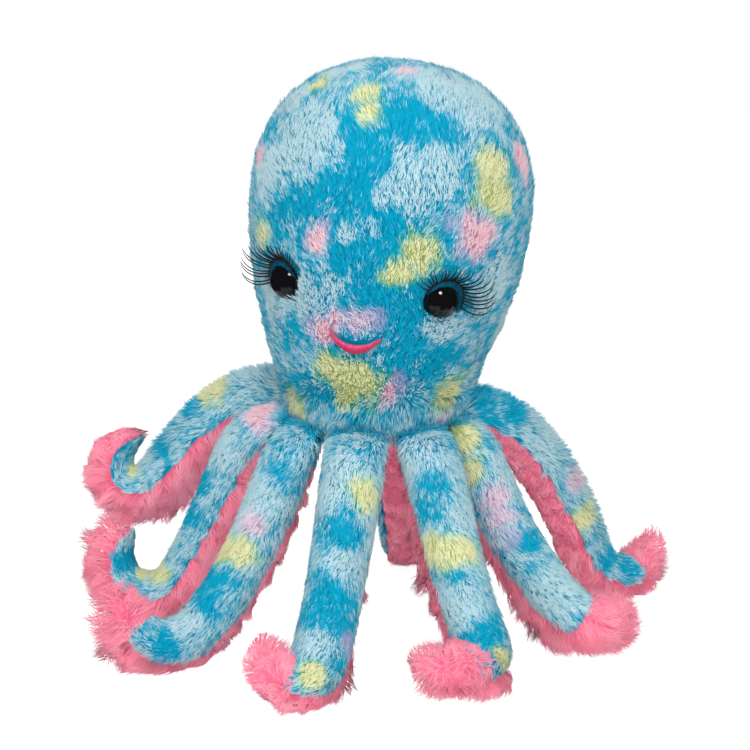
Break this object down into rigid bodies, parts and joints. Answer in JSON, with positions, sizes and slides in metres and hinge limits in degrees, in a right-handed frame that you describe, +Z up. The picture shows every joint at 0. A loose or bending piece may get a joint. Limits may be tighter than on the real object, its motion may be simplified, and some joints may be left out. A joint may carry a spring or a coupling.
{
  "type": "plush octopus",
  "caption": "Stuffed toy octopus with a tall plush head, safety eyes with lashes, a stitched smile and curling stuffed arms that flex at their seams.",
  "frame": {"origin": "middle of the bounding box seen from above, on the floor that the arms rest on", "axes": "+Z up, the face looks along -Y, and the viewer who faces it has +X on the right"},
  "size_m": [0.2514, 0.2508, 0.2404],
  "materials": {
    "plush": "short, dense pile, tie-dyed",
    "shag": "long pile",
    "fill": "loose polyester fill",
    "gloss": "polished black",
    "washer": "plain moulded",
    "lid": "felt",
    "lash": "dark filament",
    "thread": "satin stitch"
  },
  "bodies": {
    "head": {"head_front_panel": "plush", "head_back_panel": "plush", "head_stuffing": "fill", "base_disc": "shag", "eye_left": "gloss", "eye_right": "gloss", "eye_washer_left": "washer", "eye_washer_right": "washer", "eyelid_left": "lid", "eyelid_right": "lid", "lashes_left": "lash", "lashes_right": "lash", "mouth_embroidery": "thread"},
    "arm_front": {"arm_front_top_panel": "plush", "arm_front_underside": "shag", "arm_front_stuffing": "fill"},
    "arm_front_right": {"arm_front_right_top_panel": "plush", "arm_front_right_underside": "shag", "arm_front_right_stuffing": "fill"},
    "arm_right": {"arm_right_top_panel": "plush", "arm_right_underside": "shag", "arm_right_stuffing": "fill"},
    "arm_back_right": {"arm_back_right_top_panel": "plush", "arm_back_right_underside": "shag", "arm_back_right_stuffing": "fill"},
    "arm_back": {"arm_back_top_panel": "plush", "arm_back_underside": "shag", "arm_back_stuffing": "fill"},
    "arm_back_left": {"arm_back_left_top_panel": "plush", "arm_back_left_underside": "shag", "arm_back_left_stuffing": "fill"},
    "arm_left": {"arm_left_top_panel": "plush", "arm_left_underside": "shag", "arm_left_stuffing": "fill"},
    "arm_front_left": {"arm_front_left_top_panel": "plush", "arm_front_left_underside": "shag", "arm_front_left_stuffing": "fill"}
  },
  "joints": [
    {"name": "arm_front_seam", "type": "hinge", "parent": "head", "child": "arm_front", "pos_m": [0.01043, -0.04746, 0.0925], "axis": [-1, 0, 0], "range_deg": [-10, 62], "stiffness_Nm_per_rad": 0.4},
    {"name": "arm_front_right_seam", "type": "hinge", "parent": "head", "child": "arm_front_right", "pos_m": [0.03411, -0.03765, 0.0925], "axis": [-0.7071, -0.7071, 0], "range_deg": [-6, 65], "stiffness_Nm_per_rad": 0.4},
    {"name": "arm_right_seam", "type": "hinge", "parent": "head", "child": "arm_right", "pos_m": [0.04393, -0.01396, 0.0925], "axis": [0, -1, 0], "range_deg": [-7, 65], "stiffness_Nm_per_rad": 0.4},
    {"name": "arm_back_right_seam", "type": "hinge", "parent": "head", "child": "arm_back_right", "pos_m": [0.03411, 0.00973, 0.0925], "axis": [0.7071, -0.7071, 0], "range_deg": [-25, 33], "stiffness_Nm_per_rad": 0.4},
    {"name": "arm_back_seam", "type": "hinge", "parent": "head", "child": "arm_back", "pos_m": [0.01043, 0.01954, 0.0925], "axis": [1, 0, 0], "range_deg": [-20, 60], "stiffness_Nm_per_rad": 0.4},
    {"name": "arm_back_left_seam", "type": "hinge", "parent": "head", "child": "arm_back_left", "pos_m": [-0.01326, 0.00973, 0.0925], "axis": [0.7071, 0.7071, 0], "range_deg": [-15, 22], "stiffness_Nm_per_rad": 0.4},
    {"name": "arm_left_seam", "type": "hinge", "parent": "head", "child": "arm_left", "pos_m": [-0.02307, -0.01396, 0.0925], "axis": [0, 1, 0], "range_deg": [-20, 44], "stiffness_Nm_per_rad": 0.4},
    {"name": "arm_front_left_seam", "type": "hinge", "parent": "head", "child": "arm_front_left", "pos_m": [-0.01326, -0.03765, 0.0925], "axis": [-0.7071, 0.7071, 0], "range_deg": [-6, 70], "stiffness_Nm_per_rad": 0.4}
  ]
}
